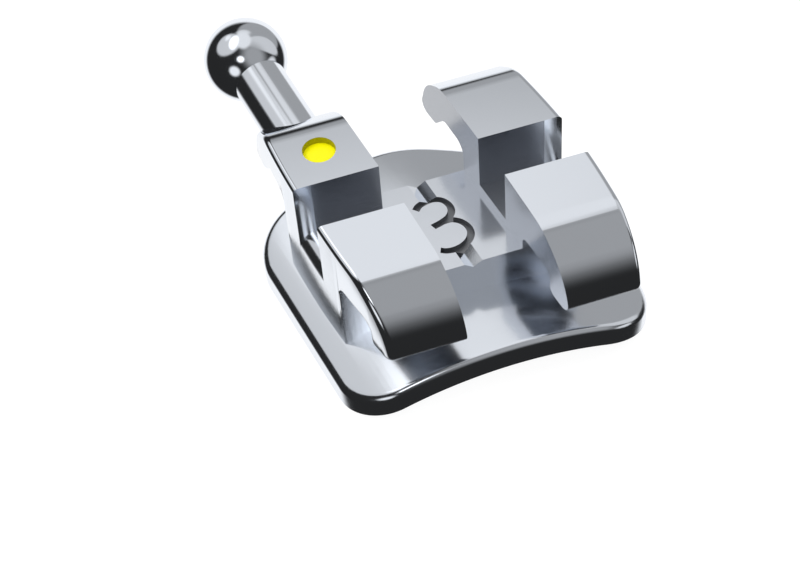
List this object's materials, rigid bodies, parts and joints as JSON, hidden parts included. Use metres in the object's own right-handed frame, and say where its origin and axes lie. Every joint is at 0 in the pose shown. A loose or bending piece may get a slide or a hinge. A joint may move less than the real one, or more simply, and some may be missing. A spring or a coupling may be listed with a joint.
{
  "type": "orthodontic bracket",
  "caption": "Twin metal orthodontic bracket with a curved bonding pad, tie wings with undercuts, a rectangular archwire slot, a scribed centre channel, a ball hook and a yellow dot.",
  "frame": {"origin": "The middle of the tooth side: the lowest point of the middle wire of the bonding mesh, under the middle of the archwire slot.", "axes": "+X runs along the archwire slot. +Y runs across the slot towards the ball hook. +Z points away from the tooth, towards the lip."},
  "size_m": [0.0039, 0.0047, 0.0023],
  "materials": {
    "polished_steel": "mirror polished stainless steel",
    "wire_cloth_steel": "woven stainless wire cloth, dull",
    "yellow_epoxy": "cured yellow epoxy"
  },
  "bodies": {
    "root": {"bracket_body": "polished_steel", "bonding_mesh": "wire_cloth_steel", "identification_dot": "yellow_epoxy"}
  },
  "joints": []
}
